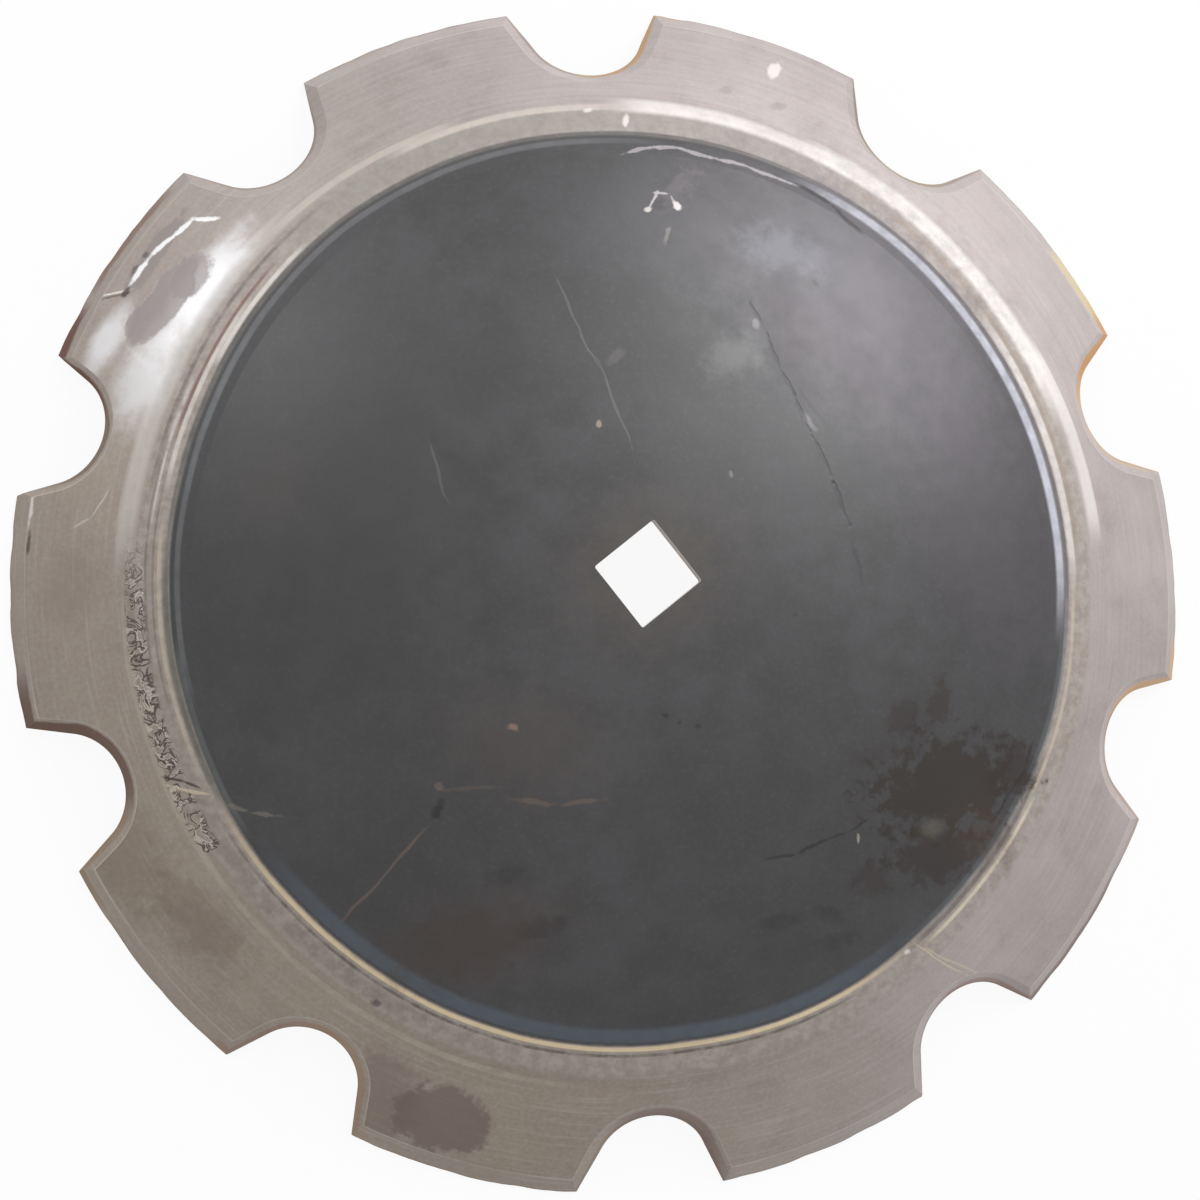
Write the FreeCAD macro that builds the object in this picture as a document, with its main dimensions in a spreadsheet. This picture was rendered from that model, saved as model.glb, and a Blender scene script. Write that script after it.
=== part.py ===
"""Notched harrow disc blade: one dished steel sheet with a square gang-bolt hole.

The blade lies as it comes to rest, on the tips of its teeth with its convex face up.
+Z is the axis of the dish, the origin is on that axis in the plane of the tips, the
sides of the square hole run along X and Y, and one notch is centred on +Y.
"""
import FreeCAD, Part

import math
import os

import Sketcher

V = FreeCAD.Vector

# Names for Sketcher's numbers: the ends of an edge, its centre, and the sketch's axes.
START, END, CENTRE = range(1, 4)
FLAT_AXIS, UPRIGHT_AXIS = range(-1, -3, -1)
ORIGIN = (FLAT_AXIS, START)

# Driving sizes in millimetres, angles in degrees: alias, value, what it is.
SIZES = [
    ("rim_diameter", 609.6, "across the tips of the teeth, 24 in"),
    ("concavity", 80.0, "depth of the hollow face below the plane of the tips"),
    ("sheet_thickness", 6.35, "of the pressed sheet, 1/4 in"),
    ("centre_diameter", 459.0, "of the unworn middle, where the first step begins"),
    ("centre_step_depth", 0.6, "from the middle down to the land around it"),
    ("centre_step_run", 2.0, "width of that step, measured from the axis outwards"),
    ("land_run", 12.5, "width of the rough land from that step to the shoulder"),
    ("shoulder_depth", 0.9, "from the land down to the worn outer band"),
    ("shoulder_run", 9.0, "width of the shoulder, measured from the axis outwards"),
    ("rim_bevel_run", 7.0, "width of the ground bevel on the teeth's outer edge"),
    ("edge_land", 1.3, "blunt edge left under every bevel"),
    ("notch_count", 10, "notches spaced evenly around the rim"),
    ("notch_depth", 37.7, "from the rim circle in to a notch's root"),
    ("notch_root_radius", 30.0, "of the round root, measured along the sheet"),
    ("notch_flare_angle", 26.5, "of each notch side from the notch's middle line"),
    ("notch_bevel_run", 12.0, "how far the notch bevel widens over its rise"),
    ("notch_bevel_rise", 6.35, "height over which the notch bevel widens"),
    ("hole_side", 38.1, "across the square hole, 1-1/2 in"),
    ("hole_corner_radius", 1.2, "in the corners of the square hole"),
]

# Expressions that several features share, written with the sheet's aliases.
RIM_RADIUS = "Sizes.rim_diameter / 2"
HOLLOW_RADIUS = f"(({RIM_RADIUS})^2 + Sizes.concavity^2) / (2 * Sizes.concavity)"
CROWN_RADIUS = f"{HOLLOW_RADIUS} + Sizes.sheet_thickness"
LAND_RADIUS = f"{CROWN_RADIUS} - Sizes.centre_step_depth"
BAND_RADIUS = f"{LAND_RADIUS} - Sizes.shoulder_depth"
NOTCH_MIDDLE = f"{RIM_RADIUS} - Sizes.notch_depth / 2"
NOTCH_SLOPE = f"asin(({NOTCH_MIDDLE}) / ({HOLLOW_RADIUS}))"
NOTCH_HEIGHT = (f"sqrt(({HOLLOW_RADIUS})^2 - ({NOTCH_MIDDLE})^2)"
                f" - ({HOLLOW_RADIUS}) + Sizes.concavity")
ROOT_PLACE = f"Sizes.notch_depth / 2 / cos({NOTCH_SLOPE})"


def make_sheet(doc):
    """Write the driving sizes into a spreadsheet and return their values by alias."""
    sheet = doc.addObject("Spreadsheet::Sheet", "Sizes")
    for row, (alias, value, meaning) in enumerate(SIZES, start=1):
        sheet.set(f"A{row}", alias)
        sheet.set(f"B{row}", str(value))
        sheet.set(f"C{row}", meaning)
        sheet.setAlias(f"B{row}", alias)
    doc.recompute()
    return {alias: value for alias, value, _ in SIZES}


def origin_feature(body, role):
    """Return the body's own origin plane or axis with the given role."""
    return next(item for item in body.Origin.OriginFeatures if item.Role == role)


def add_sketch(body, name, support):
    """Make a sketch lying flat on an origin plane or datum plane of the same body."""
    sketch = body.newObject("Sketcher::SketchObject", name)
    sketch.AttachmentSupport = [(support, "")]
    sketch.MapMode = "FlatFace"
    return sketch


def chain(sketch, pairs):
    """Join each (geometry, end) to the next one with a coincident constraint."""
    for first, second in pairs:
        sketch.addConstraint(Sketcher.Constraint("Coincident", *first, *second))


def bind(sketch, kind, references, start, expression, name):
    """Add a named dimension that starts at a value and follows an expression."""
    index = sketch.addConstraint(Sketcher.Constraint(kind, *references, float(start)))
    sketch.renameConstraint(index, name)
    sketch.setExpression(f"Constraints.{name}", expression)


def on_sphere(centre_height, radius, reach):
    """Height at a distance from the axis on a sphere centred on the axis."""
    return centre_height + (radius ** 2 - reach ** 2) ** 0.5


def sketch_section(body, size):
    """Half section of the dished sheet, from the axis out to the rim."""
    rim = size["rim_diameter"] / 2
    hollow = (rim ** 2 + size["concavity"] ** 2) / (2 * size["concavity"])
    centre = size["concavity"] - hollow
    crown = hollow + size["sheet_thickness"]
    land = crown - size["centre_step_depth"]
    band = land - size["shoulder_depth"]

    reach = {"step_top": size["centre_diameter"] / 2}
    reach["step_foot"] = reach["step_top"] + size["centre_step_run"]
    reach["shoulder_top"] = reach["step_foot"] + size["land_run"]
    reach["shoulder_foot"] = reach["shoulder_top"] + size["shoulder_run"]
    reach["bevel_top"] = rim - size["rim_bevel_run"]
    middle = V(0, centre, 0)
    hollow_top = V(0, size["concavity"], 0)
    crown_top = V(0, size["concavity"] + size["sheet_thickness"], 0)
    step_top = V(reach["step_top"], on_sphere(centre, crown, reach["step_top"]), 0)
    step_foot = V(reach["step_foot"], on_sphere(centre, land, reach["step_foot"]), 0)
    shoulder_top = V(reach["shoulder_top"], on_sphere(centre, land, reach["shoulder_top"]), 0)
    shoulder_foot = V(reach["shoulder_foot"], on_sphere(centre, band, reach["shoulder_foot"]), 0)
    bevel_top = V(reach["bevel_top"], on_sphere(centre, band, reach["bevel_top"]), 0)
    edge_top = V(rim, size["edge_land"], 0)
    edge_foot = V(rim, 0, 0)

    def arc(start, end):
        """Arc about the dish's centre, anticlockwise from start to end."""
        circle = Part.Circle(middle, V(0, 0, 1), (start - middle).Length)
        return Part.ArcOfCircle(circle, circle.parameter(start), circle.parameter(end))

    sketch = add_sketch(body, "SheetSection", origin_feature(body, "XZ_Plane"))
    axis_edge = sketch.addGeometry(Part.LineSegment(hollow_top, crown_top))
    crown_arc = sketch.addGeometry(arc(step_top, crown_top))
    step = sketch.addGeometry(Part.LineSegment(step_top, step_foot))
    land_arc = sketch.addGeometry(arc(shoulder_top, step_foot))
    shoulder = sketch.addGeometry(Part.LineSegment(shoulder_top, shoulder_foot))
    band_arc = sketch.addGeometry(arc(bevel_top, shoulder_foot))
    bevel = sketch.addGeometry(Part.LineSegment(bevel_top, edge_top))
    edge = sketch.addGeometry(Part.LineSegment(edge_top, edge_foot))
    hollow_arc = sketch.addGeometry(arc(edge_foot, hollow_top))

    chain(sketch, [
        ((axis_edge, END), (crown_arc, END)),
        ((crown_arc, START), (step, START)),
        ((step, END), (land_arc, END)),
        ((land_arc, START), (shoulder, START)),
        ((shoulder, END), (band_arc, END)),
        ((band_arc, START), (bevel, START)),
        ((bevel, END), (edge, START)),
        ((edge, END), (hollow_arc, START)),
        ((hollow_arc, END), (axis_edge, START)),
        ((crown_arc, CENTRE), (hollow_arc, CENTRE)),
        ((land_arc, CENTRE), (hollow_arc, CENTRE)),
        ((band_arc, CENTRE), (hollow_arc, CENTRE)),
    ])
    for point in ((axis_edge, START), (axis_edge, END), (hollow_arc, CENTRE)):
        sketch.addConstraint(Sketcher.Constraint("PointOnObject", *point, UPRIGHT_AXIS))
    sketch.addConstraint(Sketcher.Constraint("PointOnObject", edge, END, FLAT_AXIS))
    sketch.addConstraint(Sketcher.Constraint("Vertical", edge))

    bind(sketch, "DistanceX", (*ORIGIN, edge, END), rim, RIM_RADIUS, "rim_radius")
    bind(sketch, "DistanceY", (*ORIGIN, axis_edge, START), size["concavity"],
         "Sizes.concavity", "concavity")
    bind(sketch, "DistanceY", (axis_edge, START, axis_edge, END), size["sheet_thickness"],
         "Sizes.sheet_thickness", "thickness")
    bind(sketch, "DistanceX", (*ORIGIN, step, START), reach["step_top"],
         "Sizes.centre_diameter / 2", "centre_reach")
    bind(sketch, "DistanceX", (step, START, step, END), size["centre_step_run"],
         "Sizes.centre_step_run", "step_run")
    bind(sketch, "Radius", (land_arc,), land, LAND_RADIUS, "land_radius")
    bind(sketch, "DistanceX", (step, END, shoulder, START), size["land_run"],
         "Sizes.land_run", "land_run")
    bind(sketch, "DistanceX", (shoulder, START, shoulder, END), size["shoulder_run"],
         "Sizes.shoulder_run", "shoulder_run")
    bind(sketch, "Radius", (band_arc,), band, BAND_RADIUS, "band_radius")
    bind(sketch, "DistanceX", (bevel, START, bevel, END), size["rim_bevel_run"],
         "Sizes.rim_bevel_run", "bevel_run")
    bind(sketch, "DistanceY", (edge, END, edge, START), size["edge_land"],
         "Sizes.edge_land", "edge_land")
    return sketch


def notch_plane(body, name, lift):
    """Datum plane along the sheet at the notch on +Y, lifted off the hollow face.

    Its own Y runs down the slope to the rim, and its origin is half-way down the notch.
    """
    plane = body.newObject("PartDesign::Plane", name)
    plane.AttachmentSupport = [(origin_feature(body, "XY_Plane"), "")]
    plane.MapMode = "FlatFace"
    plane.AttachmentOffset = FreeCAD.Placement(V(), FreeCAD.Rotation(V(-1, 0, 0), 1))
    plane.setExpression("AttachmentOffset.Rotation.Angle", NOTCH_SLOPE)
    plane.setExpression("AttachmentOffset.Base.y",
                        f"{NOTCH_MIDDLE} + ({lift}) * sin({NOTCH_SLOPE})")
    plane.setExpression("AttachmentOffset.Base.z",
                        f"{NOTCH_HEIGHT} + ({lift}) * cos({NOTCH_SLOPE})")
    return plane


def sketch_notch(body, name, plane, size, widening, widening_expression):
    """Notch outline on a plane: round root, two flared sides, closed beyond the rim.

    The outline is the punched notch, widened evenly by the given amount.
    """
    rim = size["rim_diameter"] / 2
    hollow = (rim ** 2 + size["concavity"] ** 2) / (2 * size["concavity"])
    slope = math.asin((rim - size["notch_depth"] / 2) / hollow)
    root_place = size["notch_depth"] / 2 / math.cos(slope)
    radius = size["notch_root_radius"] + widening
    flare = math.radians(size["notch_flare_angle"])
    middle = V(0, size["notch_root_radius"] - root_place, 0)
    right_end = middle + V(radius * math.cos(flare), -radius * math.sin(flare), 0)
    outside = root_place + size["notch_depth"]
    right_out = V(right_end.x + (outside - right_end.y) * math.tan(flare), outside, 0)
    left_end = V(-right_end.x, right_end.y, 0)
    left_out = V(-right_out.x, outside, 0)

    sketch = add_sketch(body, name, plane)
    circle = Part.Circle(middle, V(0, 0, 1), radius)
    root = sketch.addGeometry(Part.ArcOfCircle(circle, circle.parameter(left_end),
                                               circle.parameter(right_end)))
    right = sketch.addGeometry(Part.LineSegment(right_end, right_out))
    across = sketch.addGeometry(Part.LineSegment(right_out, left_out))
    left = sketch.addGeometry(Part.LineSegment(left_out, left_end))
    chain(sketch, [((right, END), (across, START)), ((across, END), (left, START))])
    sketch.addConstraint([
        Sketcher.Constraint("Tangent", root, END, right, START),
        Sketcher.Constraint("Tangent", left, END, root, START),
        Sketcher.Constraint("PointOnObject", root, CENTRE, UPRIGHT_AXIS),
        Sketcher.Constraint("Symmetric", right, END, left, START, UPRIGHT_AXIS),
    ])
    bind(sketch, "Radius", (root,), radius,
         f"Sizes.notch_root_radius + {widening_expression}", "root_radius")
    bind(sketch, "Angle", (right, START, UPRIGHT_AXIS, START), flare,
         "Sizes.notch_flare_angle", "flare")
    bind(sketch, "DistanceY", (*ORIGIN, right, END), outside,
         f"{ROOT_PLACE} + Sizes.notch_depth", "outside")
    bind(sketch, "DistanceY", (root, CENTRE, *ORIGIN), -middle.y,
         f"{ROOT_PLACE} - Sizes.notch_root_radius", "root_place")
    return sketch


def make_blade(doc, size):
    """One pressed blade: dished sheet, ten bevelled notches and the square hole."""
    body = doc.addObject("PartDesign::Body", "DiscBlade")
    body.Label = "disc_blade"
    body.Placement = FreeCAD.Placement()

    section = sketch_section(body, size)
    sheet = body.newObject("PartDesign::Revolution", "DishedSheet")
    sheet.Profile = section
    sheet.ReferenceAxis = (origin_feature(body, "Z_Axis"), [""])
    sheet.Angle = 360
    doc.recompute()

    wall_plane = notch_plane(body, "NotchPlane", "Sizes.edge_land")
    top_plane = notch_plane(body, "NotchBevelPlane",
                            "Sizes.edge_land + Sizes.notch_bevel_rise")
    outline = sketch_notch(body, "NotchOutline", wall_plane, size, 0, "0")
    widened = sketch_notch(body, "NotchBevelOutline", top_plane, size,
                           size["notch_bevel_run"], "Sizes.notch_bevel_run")

    punched = body.newObject("PartDesign::Pocket", "PunchedNotch")
    punched.Profile = outline
    punched.Type = "ThroughAll"
    punched.Midplane = True

    bevel = body.newObject("PartDesign::SubtractiveLoft", "NotchBevel")
    bevel.Profile = outline
    bevel.Sections = [widened]
    bevel.Ruled = True
    doc.recompute()

    notches = body.newObject("PartDesign::PolarPattern", "Notches")
    notches.Originals = [punched, bevel]
    notches.Axis = (origin_feature(body, "Z_Axis"), [""])
    notches.Angle = 360
    notches.setExpression("Occurrences", "Sizes.notch_count")
    body.Tip = notches
    doc.recompute()

    opening = sketch_hole(body, size)
    hole = body.newObject("PartDesign::Pocket", "SquareHole")
    hole.Profile = opening
    hole.Type = "ThroughAll"
    hole.Reversed = True
    body.Tip = hole
    return body


def sketch_hole(body, size):
    """Square gang-bolt hole with small round corners, its sides along X and Y."""
    half = size["hole_side"] / 2
    corner = size["hole_corner_radius"]
    inner = half - corner
    sketch = add_sketch(body, "HoleOutline", origin_feature(body, "XY_Plane"))

    sides = []
    corners = []
    for quarter in range(4):
        turn = FreeCAD.Rotation(V(0, 0, 1), 90 * quarter)
        side_start = turn.multVec(V(half, -inner, 0))
        side_end = turn.multVec(V(half, inner, 0))
        circle = Part.Circle(turn.multVec(V(inner, inner, 0)), V(0, 0, 1), corner)
        first = math.radians(90 * quarter)
        sides.append(sketch.addGeometry(Part.LineSegment(side_start, side_end)))
        corners.append(sketch.addGeometry(
            Part.ArcOfCircle(circle, first, first + math.pi / 2)))

    for quarter in range(4):
        following = sides[(quarter + 1) % 4]
        direction = "Vertical" if quarter % 2 == 0 else "Horizontal"
        sketch.addConstraint([
            Sketcher.Constraint("Tangent", sides[quarter], END, corners[quarter], START),
            Sketcher.Constraint("Tangent", corners[quarter], END, following, START),
            Sketcher.Constraint(direction, sides[quarter]),
        ])
    for quarter in range(3):
        sketch.addConstraint(Sketcher.Constraint("Equal", corners[quarter],
                                                 corners[quarter + 1]))
    sketch.addConstraint(Sketcher.Constraint("Symmetric", corners[0], CENTRE,
                                             corners[2], CENTRE, *ORIGIN))
    bind(sketch, "Radius", (corners[0],), corner, "Sizes.hole_corner_radius", "corner_radius")
    bind(sketch, "DistanceX", (sides[2], START, sides[0], END), 2 * half,
         "Sizes.hole_side", "side_x")
    bind(sketch, "DistanceY", (sides[3], START, sides[1], END), 2 * half,
         "Sizes.hole_side", "side_y")
    return sketch


def check(doc, parts):
    """Stop if any object failed, or a sub-part is empty, invalid or in pieces."""
    for item in doc.Objects:
        if "Invalid" in item.State or "Error" in item.State:
            raise RuntimeError(f"{item.Name} failed: {item.State}")
    for part in parts:
        shape = part.Shape
        if shape.isNull() or not shape.isValid() or len(shape.Solids) != 1:
            raise RuntimeError(f"{part.Label} is not one valid solid")


def check_cuts(doc):
    """Stop if a cutting feature took nothing away from the one before it."""
    order = ["DishedSheet", "PunchedNotch", "NotchBevel", "Notches", "SquareHole"]
    volumes = [doc.getObject(name).Shape.Volume for name in order]
    for name, before, after in zip(order[1:], volumes, volumes[1:]):
        if after >= before - 1:
            raise RuntimeError(f"{name} cut nothing: {before:.0f} to {after:.0f} mm3")


def main():
    """Build the blade, check it and write its STEP file."""
    doc = FreeCAD.newDocument("HarrowDiscBlade")
    size = make_sheet(doc)
    parts = [make_blade(doc, size)]
    doc.recompute()
    check(doc, parts)
    check_cuts(doc)
    os.makedirs("parts", exist_ok=True)
    for part in parts:
        part.Shape.exportStep(f"parts/{part.Label}.step")


main()
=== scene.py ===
"""Looks of a worn, notched harrow disc blade lying on its tooth tips, convex face up.

The blade is modelled as one dished sheet that stands for the frame's plain solid, and
its three finishes are worked out from places on the sheet. The camera looks down on it.
"""
from __future__ import annotations

import logging
import math
from dataclasses import dataclass, field
from enum import Enum
from typing import Callable, Iterable, Optional, Sequence, Union

import bpy
from mathutils import Matrix, Vector, kdtree, noise

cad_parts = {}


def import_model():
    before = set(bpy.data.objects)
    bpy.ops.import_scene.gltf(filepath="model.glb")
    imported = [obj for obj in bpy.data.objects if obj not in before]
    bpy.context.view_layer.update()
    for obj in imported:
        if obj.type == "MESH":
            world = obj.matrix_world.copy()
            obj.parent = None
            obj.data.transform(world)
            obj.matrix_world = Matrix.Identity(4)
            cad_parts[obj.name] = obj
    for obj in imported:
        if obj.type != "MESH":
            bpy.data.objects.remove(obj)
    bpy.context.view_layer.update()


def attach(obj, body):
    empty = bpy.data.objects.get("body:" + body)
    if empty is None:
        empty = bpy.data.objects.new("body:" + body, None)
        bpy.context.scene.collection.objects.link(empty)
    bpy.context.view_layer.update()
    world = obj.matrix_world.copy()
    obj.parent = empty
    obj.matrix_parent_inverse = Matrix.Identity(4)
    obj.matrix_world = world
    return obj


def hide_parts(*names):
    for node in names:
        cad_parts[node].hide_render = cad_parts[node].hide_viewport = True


LOG = logging.getLogger("harrow_blade")

MM = 0.001
BLADE_NODE = "disc_blade"

# The wear is laid out in a frame turned by this about the blade's axis.
WEAR_TURN = 37.98

# How far the steel answers light as bare metal.
METAL = 0.25

Colour = tuple[float, float, float]
Pair = tuple[float, float]


class Finish(Enum):
    """The blade's three finishes, by the material slot that each face takes."""

    CONVEX = 0
    EDGE = 1
    HOLLOW = 2


def srgb(red: int, green: int, blue: int) -> Colour:
    """Return a screen colour of 0 to 255 as linear light."""

    def linear(level: int) -> float:
        """Return one channel as linear light."""
        value = level / 255
        return value / 12.92 if value <= 0.04045 else ((value + 0.055) / 1.055) ** 2.4

    return linear(red), linear(green), linear(blue)


# ---------------------------------------------------------------- operators


def only(piece: bpy.types.Object) -> None:
    """Make one object the only selected and active one.

    Args:
        piece: The object to work on.
    """
    if bpy.context.object and bpy.context.object.mode != "OBJECT":
        bpy.ops.object.mode_set(mode="OBJECT")
    bpy.ops.object.select_all(action="DESELECT")
    piece.select_set(True)
    bpy.context.view_layer.objects.active = piece


def edit(piece: bpy.types.Object, mode: str = "VERT") -> None:
    """Open one object in edit mode with nothing selected.

    Args:
        piece: The object to edit.
        mode: What is picked: VERT, EDGE or FACE.
    """
    only(piece)
    bpy.ops.object.mode_set(mode="EDIT")
    bpy.ops.mesh.select_mode(type=mode)
    bpy.ops.mesh.select_all(action="DESELECT")


def pick(piece: bpy.types.Object, test: Callable[[Vector], bool]) -> None:
    """Select the vertices whose place passes a test, and leave edit mode open.

    Args:
        piece: The object in edit mode.
        test: Says whether a vertex's place is wanted.
    """
    bpy.ops.mesh.select_all(action="DESELECT")
    bpy.ops.object.mode_set(mode="OBJECT")
    for vertex in piece.data.vertices:
        vertex.select = test(vertex.co)
    bpy.ops.object.mode_set(mode="EDIT")
    bpy.ops.mesh.select_mode(type="VERT")


def place_in_mesh(piece: bpy.types.Object) -> None:
    """Put an object's place, turn and scale into its mesh."""
    only(piece)
    bpy.ops.object.transform_apply(location=True, rotation=True, scale=True)


# ---------------------------------------------------------------- node fields


@dataclass
class Field:
    """A number or vector that varies over the surface, with arithmetic."""

    tree: bpy.types.NodeTree
    socket: bpy.types.NodeSocket

    def _math(self, operation: str, *others: Union["Field", float],
              clamp: bool = False) -> "Field":
        """Return the result of a Math node on this field and others."""
        node = self.tree.nodes.new("ShaderNodeMath")
        node.operation = operation
        node.use_clamp = clamp
        for socket, value in zip(node.inputs, (self, *others)):
            feed(self.tree, socket, value)
        return Field(self.tree, node.outputs[0])

    def __add__(self, other: Union["Field", float]) -> "Field":
        """Return the sum."""
        return self._math("ADD", other)

    def __sub__(self, other: Union["Field", float]) -> "Field":
        """Return the difference."""
        return self._math("SUBTRACT", other)

    def __mul__(self, other: Union["Field", float]) -> "Field":
        """Return the product."""
        return self._math("MULTIPLY", other)

    def times_plus(self, factor: float, offset: Union["Field", float]) -> "Field":
        """Return this field times a factor, plus an offset."""
        return self._math("MULTIPLY_ADD", factor, offset)

    def absolute(self) -> "Field":
        """Return the distance from zero."""
        return self._math("ABSOLUTE")

    def clamped(self) -> "Field":
        """Return this field held between 0 and 1."""
        return self._math("ADD", 0.0, clamp=True)

    def between(self, low: float, high: float, top: float = 1.0) -> "Field":
        """Return a smooth rise from 0 at low to the top at high.

        Args:
            low: Where it is 0. If it is the greater, the rise is a fall.
            high: Where it reaches the top.
            top: The most that it reaches.
        """
        node = self.tree.nodes.new("ShaderNodeMapRange")
        node.interpolation_type = "SMOOTHSTEP"
        node.clamp = False
        rising = low <= high
        feed(self.tree, node.inputs["Value"], self)
        node.inputs["From Min"].default_value = min(low, high)
        node.inputs["From Max"].default_value = max(low, high)
        node.inputs["To Min"].default_value = 0.0 if rising else top
        node.inputs["To Max"].default_value = top if rising else 0.0
        return Field(self.tree, node.outputs["Result"])


def feed(tree: bpy.types.NodeTree, socket: bpy.types.NodeSocket,
         value: Union[Field, float, Sequence[float]]) -> None:
    """Link a field to a socket, or write a plain value into it.

    Args:
        tree: The node tree.
        socket: The input to fill.
        value: A field, a number, or a colour or vector.
    """
    if isinstance(value, Field):
        tree.links.new(value.socket, socket)
    elif isinstance(value, (int, float)):
        socket.default_value = value
    else:
        wanted = len(socket.default_value)
        socket.default_value = (*value, 1.0)[:wanted]


@dataclass
class Surface:
    """One material in the making: its tree and the places it reads.

    Attributes:
        name: The material's name.
    """

    name: str
    material: bpy.types.Material = field(init=False)
    tree: bpy.types.NodeTree = field(init=False)
    shader: bpy.types.ShaderNode = field(init=False)

    def __post_init__(self) -> None:
        """Make the material and find its shader."""
        self.material = bpy.data.materials.new(self.name)
        self.material.use_nodes = True
        self.tree = self.material.node_tree
        self.shader = self.tree.nodes["Principled BSDF"]

    def place(self) -> Field:
        """Return the place on the blade, in metres, in the turned frame of the wear."""
        source = self.tree.nodes.new("ShaderNodeTexCoord")
        turned = self.tree.nodes.new("ShaderNodeMapping")
        turned.inputs["Rotation"].default_value = (0, 0, math.radians(WEAR_TURN))
        self.tree.links.new(source.outputs["Object"], turned.inputs["Vector"])
        return Field(self.tree, turned.outputs["Vector"])

    def attribute(self, name: str) -> Field:
        """Return a number stored on the mesh."""
        node = self.tree.nodes.new("ShaderNodeAttribute")
        node.attribute_name = name
        return Field(self.tree, node.outputs["Fac"])

    def vector_math(self, operation: str, first: Field,
                    second: Union[Field, Sequence[float], None] = None,
                    scale: Optional[float] = None) -> bpy.types.ShaderNode:
        """Return a Vector Math node fed with the given inputs."""
        node = self.tree.nodes.new("ShaderNodeVectorMath")
        node.operation = operation
        feed(self.tree, node.inputs[0], first)
        if second is not None:
            feed(self.tree, node.inputs[1], second)
        if scale is not None:
            node.inputs["Scale"].default_value = scale
        return node

    def flat(self, place: Field) -> Field:
        """Return the place pressed onto the plane across the axis."""
        node = self.vector_math("MULTIPLY", place, (1, 1, 0))
        return Field(self.tree, node.outputs["Vector"])

    def length(self, vector: Field) -> Field:
        """Return a vector's length."""
        return Field(self.tree, self.vector_math("LENGTH", vector).outputs["Value"])

    def unit(self, vector: Field) -> Field:
        """Return a vector's direction."""
        return Field(self.tree, self.vector_math("NORMALIZE", vector).outputs["Vector"])

    def toward(self, direction: Field, angle: float) -> Field:
        """Return the cosine between a flat direction and an angle in degrees."""
        turn = math.radians(angle)
        node = self.vector_math("DOT_PRODUCT", direction,
                                (math.cos(turn), math.sin(turn), 0))
        return Field(self.tree, node.outputs["Value"])

    def noise(self, place: Field, size: float, detail: float = 3.0,
              roughness: float = 0.55, distortion: float = 0.0) -> Field:
        """Return soft noise of 0 to 1 whose blotches have the given size in metres."""
        node = self.tree.nodes.new("ShaderNodeTexNoise")
        node.inputs["Scale"].default_value = 1 / size
        node.inputs["Detail"].default_value = detail
        node.inputs["Roughness"].default_value = roughness
        node.inputs["Distortion"].default_value = distortion
        feed(self.tree, node.inputs["Vector"], place)
        return Field(self.tree, node.outputs["Fac"])

    def stretched(self, place: Field, scale: Sequence[float], turn: float = 0.0) -> Field:
        """Return the place turned by degrees about the axis, then scaled on each axis."""
        turned = self.tree.nodes.new("ShaderNodeMapping")
        turned.inputs["Rotation"].default_value = (0, 0, math.radians(turn))
        turned.inputs["Scale"].default_value = scale
        feed(self.tree, turned.inputs["Vector"], place)
        return Field(self.tree, turned.outputs["Vector"])

    def ramp(self, value: Field, stops: Sequence[tuple[float, Colour]],
             low: float, high: float) -> Field:
        """Return a colour that follows a value through stops given in its own unit."""
        scaled = (value - low) * (1 / (high - low))
        node = self.tree.nodes.new("ShaderNodeValToRGB")
        feed(self.tree, node.inputs["Fac"], scaled)
        elements = node.color_ramp.elements
        while len(elements) < len(stops):
            elements.new(0.5)
        for element, (at, colour) in zip(elements, stops):
            element.position = (at - low) / (high - low)
            element.color = (*colour, 1.0)
        return Field(self.tree, node.outputs["Color"])

    def mix(self, below: Union[Field, Colour], above: Union[Field, Colour],
            amount: Union[Field, float], blend: str = "MIX") -> Field:
        """Return one colour laid over another by an amount."""
        node = self.tree.nodes.new("ShaderNodeMix")
        node.data_type = "RGBA"
        node.blend_type = blend
        feed(self.tree, node.inputs[0], amount)
        feed(self.tree, node.inputs[6], below)
        feed(self.tree, node.inputs[7], above)
        return Field(self.tree, node.outputs[2])

    def finish(self, colour: Field, roughness: Field, height: Optional[Field] = None,
               bump: float = 1.0, metallic: float = 0.0) -> None:
        """Join the worked-out colour, roughness and height to the shader."""
        feed(self.tree, self.shader.inputs["Base Color"], colour)
        feed(self.tree, self.shader.inputs["Roughness"], roughness)
        self.shader.inputs["Metallic"].default_value = metallic
        if height is not None:
            node = self.tree.nodes.new("ShaderNodeBump")
            node.inputs["Strength"].default_value = bump
            node.inputs["Distance"].default_value = 1.0
            feed(self.tree, node.inputs["Height"], height)
            self.tree.links.new(node.outputs["Normal"], self.shader.inputs["Normal"])


# ---------------------------------------------------------------- wear marks

# Colours of the wear, as seen in plain light, and of painted highlights: FROST and GOLD serve only painted highlights
# on the groove, and CHALK serves real scratches and painted highlights alike.
SOOT = srgb(46, 44, 45)
INK = srgb(60, 58, 62)
PLATE = srgb(73, 72, 73)
UMBER = srgb(66, 56, 50)
SLATE = srgb(104, 114, 124)
STONE = srgb(148, 144, 138)
MAUVE = srgb(128, 114, 120)
RUST = srgb(122, 88, 76)
OCHRE = srgb(196, 142, 84)
CLAY = srgb(158, 142, 124)
BEIGE = srgb(206, 192, 170)
GOLD = srgb(232, 212, 176)
CHALK = srgb(232, 226, 222)
FROST = srgb(214, 216, 228)


def polar(angle: float, radius: float) -> Pair:
    """Return a place in the wear frame, in millimetres.

    Args:
        angle: Angle from the wear frame's +X, in degrees.
        radius: Distance from the axis, in millimetres.
    """
    turn = math.radians(angle)
    return radius * math.cos(turn), radius * math.sin(turn)


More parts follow.
